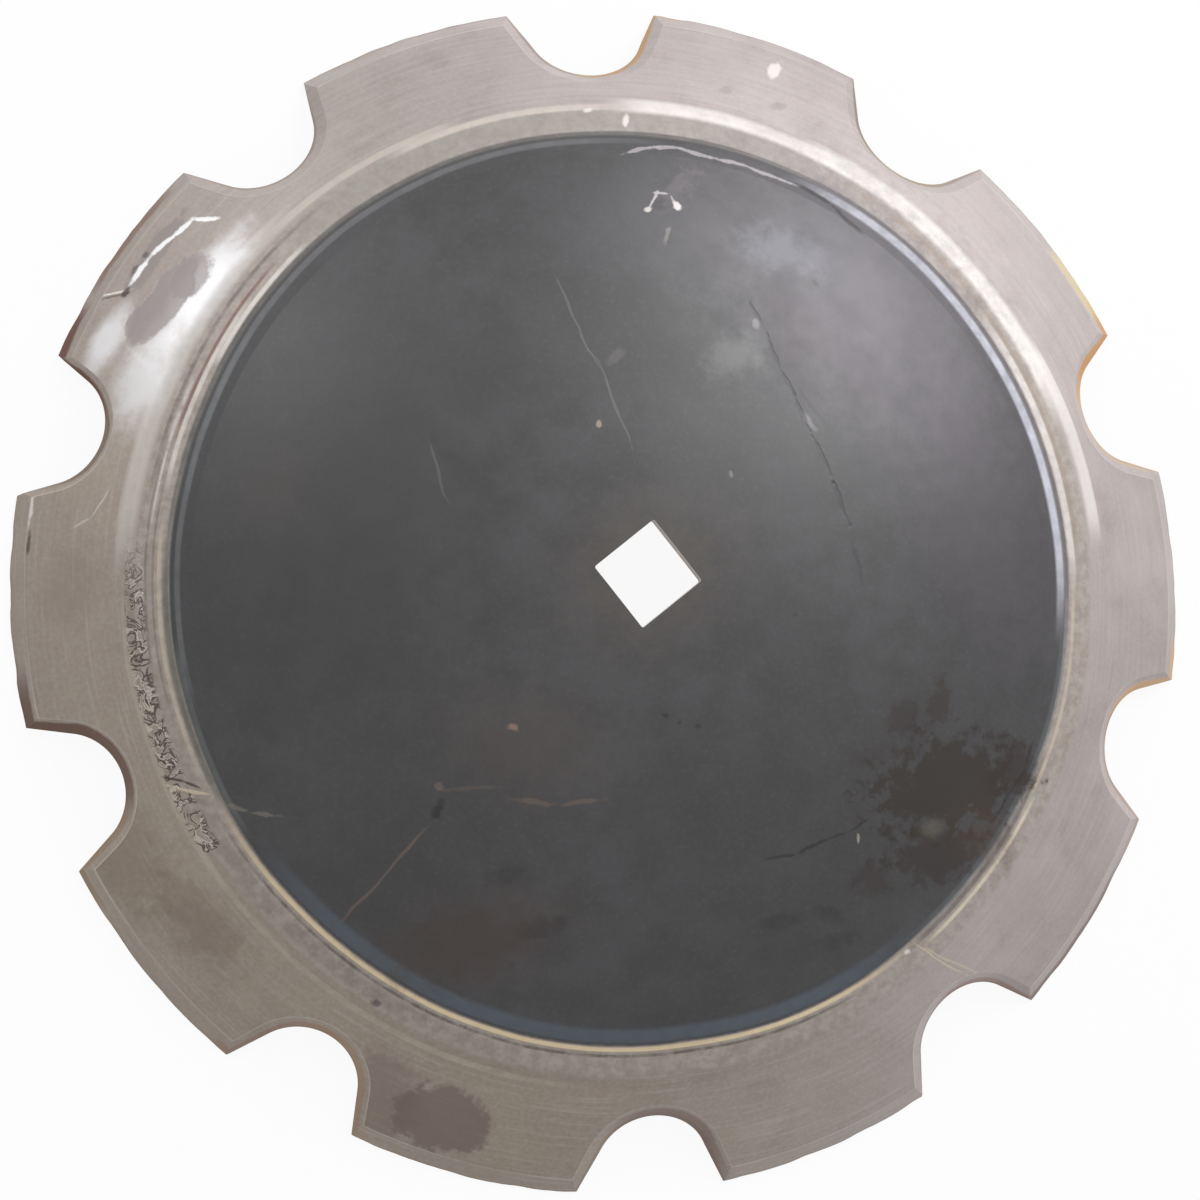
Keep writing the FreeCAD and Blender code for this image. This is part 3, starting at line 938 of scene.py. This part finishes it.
    def dress(self, zones: Sequence[Zone],
              make: Callable[..., bpy.types.Material]) -> None:
        """Give the blade its finishes and say what it stands for.

        Args:
            zones: The parts of the convex face.
            make: Makes the material of a finish and, on the convex face, of a zone.
        """
        mesh = self.piece.data
        slots = self.piece.material_slots
        slots[Finish.EDGE.value].material = make(self, Finish.EDGE)
        slots[Finish.HOLLOW.value].material = make(self, Finish.HOLLOW)
        numbers = {}
        for zone in zones:
            material = make(self, Finish.CONVEX, zone)
            if not numbers:
                slots[Finish.CONVEX.value].material = material
                numbers[zone] = Finish.CONVEX.value
            else:
                numbers[zone] = len(mesh.materials)
                mesh.materials.append(material)
        for face in mesh.polygons:
            if face.material_index == Finish.CONVEX.value:
                middle = face.center.xy / MM
                angle = math.degrees(math.atan2(middle.y, middle.x)) + WEAR_TURN
                face.material_index = next(
                    number for zone, number in numbers.items()
                    if zone.holds(angle, middle.length))
        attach(self.piece, "root")
        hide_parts(BLADE_NODE)
        LOG.info("%s: dressed with %d materials", self.piece.name, len(mesh.materials))


@dataclass(frozen=True)
class Zone:
    """A part of the convex face with a material of its own, which keeps each one light.

    Attributes:
        name: What the material is called.
        inner: Its smaller radius, in millimetres.
        outer: Its greater radius, in millimetres.
        start: Angle where it starts in the wear frame, in degrees.
        end: Angle where it ends.
    """

    name: str
    inner: float
    outer: float
    start: float
    end: float

    def holds(self, angle: float, radius: float) -> bool:
        """Return whether a place is in the zone."""
        return (self.inner <= radius < self.outer
                and (angle - self.start) % 360 < self.end - self.start)

    def meets(self, at: Pair, reach: float) -> bool:
        """Return whether a mark of a given reach in millimetres touches the zone."""
        radius = math.hypot(*at)
        if not self.inner - reach <= radius <= self.outer + reach:
            return False
        if radius <= reach:
            return True
        spread = math.degrees(math.asin(reach / radius))
        angle = math.degrees(math.atan2(at[1], at[0]))
        return (angle + spread - self.start) % 360 <= self.end - self.start + 2 * spread

    def faces(self, ring: Ring) -> bool:
        """Return whether a ring runs through the zone."""
        if ring.reach >= 180:
            return True
        spread = ring.reach * 1.15 + 2
        return ((ring.facing + spread - self.start) % 360
                <= self.end - self.start + 2 * spread)


def zones() -> list[Zone]:
    """Return the zones of the convex face, from the middle outwards."""
    found = []
    for part, inner, outer, cuts in (
            ("plate", 0, 217, (0, 52, 95, 200, 262, 312, 360)),
            ("land", 217, 256, (0, 45, 95, 145, 212, 300, 360)),
            ("band", 256, 400, (0, 95, 160, 235, 300, 360))):
        found += [Zone(f"{part}_{number}", inner, outer, start, end)
                  for number, (start, end) in enumerate(zip(cuts, cuts[1:]), 1)]
    return found


@dataclass
class Coat:
    """Colour, roughness and height being built up on one surface, layer on layer."""

    surface: Surface
    colour: Union[Field, Colour]
    roughness: Union[Field, float]
    height: Optional[Field] = None

    def lay(self, mask: Field, colour: Union[Field, Colour, None] = None,
            strength: float = 1.0, rough: float = 0.0, height: float = 0.0) -> None:
        """Lay one layer over what is there.

        Args:
            mask: Where it lies, 0 to 1.
            colour: Its colour, or none to leave the colour.
            strength: How much of the colour it lays down.
            rough: What it adds to the roughness.
            height: What it adds to the surface, in millimetres.
        """
        if colour is not None:
            amount = mask if strength == 1.0 else mask * strength
            self.colour = self.surface.mix(self.colour, colour, amount)
        if rough:
            self.roughness = mask.times_plus(rough, self.roughness)
        if height:
            low = self.height if self.height is not None else 0.0
            self.height = mask.times_plus(height * MM, low)


@dataclass
class WornSteel:
    """The scoured band, the dark plate and every mark on one part of the blade, painted highlights and painted shade
    among them.

    Attributes:
        blade: The blade that it is for, for its sizes.
        finish: Which of the blade's finishes it is.
        zone: The part of the convex face that it is for, if it is for one.
    """

    blade: NotchedBlade
    finish: Finish
    zone: Optional[Zone] = None

    def build(self) -> bpy.types.Material:
        """Make the material.

        Returns:
            The material, ready for its slot.
        """
        name = self.zone.name if self.zone else self.finish.name.lower()
        surface = Surface(f"worn_steel_{name}")
        place = surface.place()
        flat = surface.flat(place)
        direction = surface.unit(flat)
        radius = surface.length(flat)
        waver = surface.noise(direction, 0.55, 1.5)
        radius = (waver - 0.5).times_plus(5.0 * MM, radius)
        cloud = surface.noise(place, 0.09, 3.0)
        mottle = surface.noise(place, 0.022, 3.0, 0.6)
        grain = surface.noise(place, 0.0022, 2.0, 0.6)
        if self.zone and self.zone.outer < 220:
            coat = Coat(surface, PLATE, 0.42)
        else:
            streaks = self.streaks(surface, direction, radius)
            coat = self.band(surface, direction, cloud, mottle, grain, streaks)
        if self.finish is Finish.EDGE:
            self.edge(coat, place, direction, mottle)
        elif self.finish is Finish.HOLLOW:
            self.hollow(coat, cloud, mottle)
        elif self.zone.inner < 250:
            self.plate(coat, place, direction, radius, cloud, mottle, grain)
            if self.zone.inner > 0:
                self.rings(coat, direction, radius)
                if self.zone.holds(199, 245):
                    self.crumple(coat, place, direction, radius)
        if self.zone:
            self.blots(coat, flat, place)
        surface.finish(coat.colour, coat.roughness, coat.height, metallic=METAL)
        return surface.material

    def streaks(self, surface: Surface, direction: Field, radius: Field) -> Field:
        """Return noise drawn out around the axis, as soil wears the band."""
        around = surface.vector_math("SCALE", direction, scale=5.0)
        ring = surface.tree.nodes.new("ShaderNodeCombineXYZ")
        feed(surface.tree, ring.inputs["Z"], radius * (1 / (1.6 * MM)))
        drawn = surface.vector_math("ADD", Field(surface.tree, around.outputs["Vector"]),
                                    Field(surface.tree, ring.outputs["Vector"]))
        return surface.noise(Field(surface.tree, drawn.outputs["Vector"]), 1.0, 3.0, 0.6)

    def band(self, surface: Surface, direction: Field, cloud: Field,
             mottle: Field, grain: Field, streaks: Field) -> Coat:
        """Start the coat with the scoured steel of the outer band."""
        pink = surface.mix(srgb(188, 178, 177), srgb(172, 161, 158), mottle)
        tan = surface.mix(srgb(164, 152, 138), srgb(146, 133, 120), mottle)
        low_side = surface.toward(direction, 222).between(-0.1, 0.8)
        colour = surface.mix(pink, tan, low_side)
        warm = surface.toward(direction, 172).between(0.2, 0.95, 0.5)
        colour = surface.mix(colour, srgb(164, 152, 140), warm)
        coat = Coat(surface, colour, 0.4)
        coat.lay(cloud.between(0.42, 0.7, 0.35), srgb(150, 138, 134), 1.0, 0.05)
        coat.lay(mottle.between(0.55, 0.8, 0.22), srgb(140, 126, 118), 1.0, 0.06)
        coat.lay(streaks.between(0.5, 0.75, 0.2), srgb(206, 198, 194), 1.0, -0.04, 0.012)
        coat.lay(streaks.between(0.5, 0.25, 0.2), srgb(136, 126, 120), 1.0, 0.05, -0.01)
        coat.lay(grain.between(0.35, 0.75, 0.14), srgb(206, 198, 194), 1.0, 0.05, 0.02)
        return coat

    def plate(self, coat: Coat, place: Field, direction: Field, radius: Field,
              cloud: Field, mottle: Field, grain: Field) -> None:
        """Lay the dark plate, and the rough land around it, over the band."""
        surface = coat.surface
        if self.zone.outer > 220:
            rough = surface.noise(place, 0.005, 3.0, 0.65).between(0.3, 0.7)
            land = radius.between(247.0 * MM, 243.5 * MM)
            coat.lay(land, surface.mix(srgb(176, 167, 160), srgb(152, 142, 134), rough),
                     0.8, 0.12)
            coat.lay(land * rough, None, 0, 0, 0.06)
        dark = surface.mix(PLATE, srgb(80, 79, 81), mottle.between(0.3, 0.7))
        dark = surface.mix(dark, srgb(69, 68, 69), cloud.between(0.4, 0.7, 0.6))
        dark = surface.mix(dark, srgb(96, 92, 97), grain.between(0.45, 0.85, 0.3))
        if self.zone.outer > 220:
            coat.lay(radius.between(229.6 * MM, 228.2 * MM), dark)
        else:
            coat.colour = dark
        coat.lay(mottle.between(0.35, 0.7), None, 0, 0.06, 0.03)
        coat.lay(grain, None, 0, 0, 0.008)

    def rings(self, coat: Coat, direction: Field, radius: Field) -> None:
        """Lay the lines and bands that run around the axis, some of them painted highlight and some painted shade."""
        surface = coat.surface
        breaks = surface.noise(surface.place(), 0.007, 3.0, 0.6).between(0.35, 0.6)
        for ring in filter(self.zone.faces, PLATE_RINGS):
            mask = (radius - ring.radius * MM).absolute().between(
                ring.half * 1.25 * MM, ring.half * 0.45 * MM, ring.strength)
            if ring.reach < 180:
                mask = mask * surface.toward(direction, ring.facing).between(
                    math.cos(math.radians(ring.reach * 1.15)),
                    math.cos(math.radians(ring.reach * 0.7)))
            mask = mask * breaks.times_plus(ring.fleck, 1 - ring.fleck)
            coat.lay(mask, ring.colour, 1.0, 0, ring.height)

    def crumple(self, coat: Coat, place: Field, direction: Field, radius: Field) -> None:
        """Lay the torn and folded skin at one side of the land."""
        surface = coat.surface
        where = (radius - 245.5 * MM).absolute().between(5.5 * MM, 3.5 * MM)
        where = where * surface.toward(direction, 199).between(0.9, 0.965)
        folds = surface.noise(place, 0.008, 3.0, 0.6, 1.2)
        creases = (folds - 0.5).absolute().between(0.05, 0.01)
        rims = (folds - 0.57).absolute().between(0.04, 0.01)
        coat.lay(where * creases, srgb(70, 60, 58), 0.85, 0.1, -0.25)
        coat.lay(where * rims, srgb(216, 204, 192), 0.6, 0.0, 0.1)

    def blots(self, coat: Coat, flat: Field, place: Field) -> None:
        """Lay the patches, dents and scratches that touch the zone, and the patches of painted sheen among them."""
        surface = coat.surface
        ragged = surface.noise(place, 0.009, 3.0, 0.7) - 0.5
        wander = surface.tree.nodes.new("ShaderNodeTexNoise")
        wander.inputs["Scale"].default_value = 1 / 0.03
        wander.inputs["Detail"].default_value = 2.0
        feed(surface.tree, wander.inputs["Vector"], flat)
        shift = surface.vector_math(
            "MULTIPLY_ADD", Field(surface.tree, wander.outputs["Color"]), [8 * MM] * 3)
        feed(surface.tree, shift.inputs[2], [-4 * MM] * 3)
        moved = surface.vector_math("ADD", flat, Field(surface.tree, shift.outputs["Vector"]))
        flat = Field(surface.tree, moved.outputs["Vector"])
        turned: dict[int, Field] = {}
        for mark in PLATE_MARKS + BAND_MARKS:
            if not self.zone.meets(mark.at, max(mark.half) * 1.7 + 7):
                continue
            turn = round(mark.turn / 6) * 6 % 180
            if turn not in turned:
                node = surface.tree.nodes.new("ShaderNodeVectorRotate")
                node.rotation_type = "Z_AXIS"
                node.inputs["Angle"].default_value = -math.radians(turn)
                feed(surface.tree, node.inputs["Vector"], flat)
                turned[turn] = Field(surface.tree, node.outputs["Vector"])
            middle = Matrix.Rotation(-math.radians(turn), 2) @ Vector(mark.at)
            node = surface.tree.nodes.new("ShaderNodeVectorMath")
            node.operation = "MULTIPLY_ADD"
            feed(surface.tree, node.inputs[0], turned[turn])
            feed(surface.tree, node.inputs[1],
                 (1 / (mark.half[0] * MM), 1 / (mark.half[1] * MM), 0))
            feed(surface.tree, node.inputs[2],
                 (-middle.x / mark.half[0], -middle.y / mark.half[1], 0))
            away = surface.length(Field(surface.tree, node.outputs["Vector"]))
            away = ragged.times_plus(mark.ragged * 2, away)
            if mark.rough or mark.height:
                mask = away.between(1.0 + mark.soft * 0.35, 1.0 - mark.soft * 0.65)
                coat.lay(mask, mark.colour, mark.strength, mark.rough, mark.height)
            else:
                coat.lay(away.between(1.0 + mark.soft * 0.35, 1.0 - mark.soft * 0.65,
                                      mark.strength), mark.colour)

    def edge(self, coat: Coat, place: Field, direction: Field, mottle: Field) -> None:
        """Lay the stains of the cut walls and a painted highlight along their top."""
        surface = coat.surface
        middle = surface.vector_math("SUBTRACT", place, self.blade.centre * MM)
        depth = surface.length(Field(surface.tree, middle.outputs["Vector"]))
        depth = depth - self.blade.hollow_sphere * MM
        coat.lay(depth.between(1.6 * MM, 0.9 * MM, 0.5),
                 surface.mix(srgb(150, 128, 104), srgb(112, 92, 78), mottle), 1.0, 0.1)
        for stain in EDGE_STAINS:
            window = surface.toward(direction, stain.facing).between(
                math.cos(math.radians(stain.reach * 1.2)),
                math.cos(math.radians(stain.reach * 0.6)), stain.strength)
            top = (mottle - 0.5).times_plus(2.0 * MM, depth)
            coat.lay(window * top.between((stain.depth + 0.4) * MM,
                                          (stain.depth - 0.4) * MM), stain.colour)
        # A pale line of painted highlight along the top of the cut walls, where their edge would catch the light.
        coat.lay(depth.between(4.1 * MM, 4.6 * MM, 0.35), srgb(222, 214, 204))

    def hollow(self, coat: Coat, cloud: Field, mottle: Field) -> None:
        """Lay the duller finish of the hollow face."""
        coat.lay(cloud.between(0.3, 0.7), srgb(112, 104, 98), 0.8, 0.1)
        coat.lay(mottle.between(0.5, 0.75), srgb(96, 78, 66), 0.5, 0.1)




@dataclass
class Studio:
    """The floor, the soft lights and the camera. Sizes are in metres."""

    eye: tuple[float, float, float] = (-0.34924, 0.07032, 1.55853)
    aim: tuple[float, float, float] = (-0.01714, 0.00271, 0.04)
    roll: float = 62.97
    lens: float = 93.374
    room: float = 0.5

    def camera(self) -> None:
        data = bpy.data.cameras.new("camera")
        data.lens = self.lens
        data.sensor_width = 36
        data.clip_start = 0.05
        camera = bpy.data.objects.new("camera", data)
        bpy.context.scene.collection.objects.link(camera)
        look = Vector(self.aim) - Vector(self.eye)
        turn = look.to_track_quat("-Z", "Y").to_matrix() @ Matrix.Rotation(math.radians(self.roll), 3, "Z")
        camera.matrix_world = Matrix.Translation(self.eye) @ turn.to_4x4()
        bpy.context.scene.camera = camera

    def lights(self) -> None:
        def area(name, azimuth, elevation, distance, size, power):
            data = bpy.data.lights.new(name, "AREA")
            data.shape = "DISK"
            data.size = size
            data.energy = power
            light = bpy.data.objects.new(name, data)
            a = math.radians(azimuth - WEAR_TURN)
            e = math.radians(elevation)
            way = Vector((math.cos(a) * math.cos(e), math.sin(a) * math.cos(e), math.sin(e)))
            light.matrix_world = Matrix.Translation(way * distance) @ way.to_track_quat("Z", "Y").to_matrix().to_4x4()
            bpy.context.scene.collection.objects.link(light)
        area("key", 48, 42, 2.2, 1.4, 34)
        area("side", 132, 44, 2.2, 0.6, 7)

    def seen(self, tree: bpy.types.NodeTree) -> bpy.types.NodeSocket:
        """Return 1 where the camera or a reflection looks, and 0 for plain light."""
        path = tree.nodes.new("ShaderNodeLightPath")
        either = tree.nodes.new("ShaderNodeMath")
        either.operation = "MAXIMUM"
        tree.links.new(path.outputs["Is Camera Ray"], either.inputs[0])
        tree.links.new(path.outputs["Is Glossy Ray"], either.inputs[1])
        return either.outputs[0]

    def backdrop(self) -> None:
        """Light the room evenly, and lay a floor that looks white under the blade."""
        world = bpy.data.worlds.new("room")
        bpy.context.scene.world = world
        bpy.context.scene.view_settings.view_transform = "Standard"
        world.use_nodes = True
        tree = world.node_tree
        plain = tree.nodes["Background"]
        plain.inputs["Color"].default_value = (1, 1, 1, 1)
        plain.inputs["Strength"].default_value = self.room
        white = tree.nodes.new("ShaderNodeBackground")
        white.inputs["Color"].default_value = (1, 1, 1, 1)
        path = tree.nodes.new("ShaderNodeLightPath")
        choice = tree.nodes.new("ShaderNodeMixShader")
        tree.links.new(path.outputs["Is Camera Ray"], choice.inputs[0])
        tree.links.new(plain.outputs[0], choice.inputs[1])
        tree.links.new(white.outputs[0], choice.inputs[2])
        tree.links.new(choice.outputs[0], tree.nodes["World Output"].inputs["Surface"])

        bpy.ops.mesh.primitive_plane_add(size=8, location=(0, 0, -0.0005))
        floor = bpy.context.object
        floor.name = "floor"
        place_in_mesh(floor)
        material = bpy.data.materials.new("pale_floor")
        material.use_nodes = True
        tree = material.node_tree
        matt = tree.nodes["Principled BSDF"]
        matt.inputs["Base Color"].default_value = (0.8, 0.8, 0.8, 1)
        matt.inputs["Roughness"].default_value = 0.9
        glow = tree.nodes.new("ShaderNodeEmission")
        choice = tree.nodes.new("ShaderNodeMixShader")
        share = tree.nodes.new("ShaderNodeMath")
        share.operation = "MULTIPLY"
        share.inputs[1].default_value = 0.93
        tree.links.new(self.seen(tree), share.inputs[0])
        tree.links.new(share.outputs[0], choice.inputs[0])
        tree.links.new(matt.outputs[0], choice.inputs[1])
        tree.links.new(glow.outputs[0], choice.inputs[2])
        tree.links.new(choice.outputs[0], tree.nodes["Material Output"].inputs["Surface"])
        floor.data.materials.append(material)
        LOG.info("floor: laid")

    def build(self) -> None:
        self.camera()
        self.lights()
        self.backdrop()


def main() -> None:
    """Load the frame, and build the blade and the studio."""
    logging.basicConfig(level=logging.INFO, format="%(message)s")
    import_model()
    blade = NotchedBlade()
    blade.build()
    blade.dress(zones(), lambda *parts: WornSteel(*parts).build())
    Studio().build()


if __name__ == "__main__":
    main()
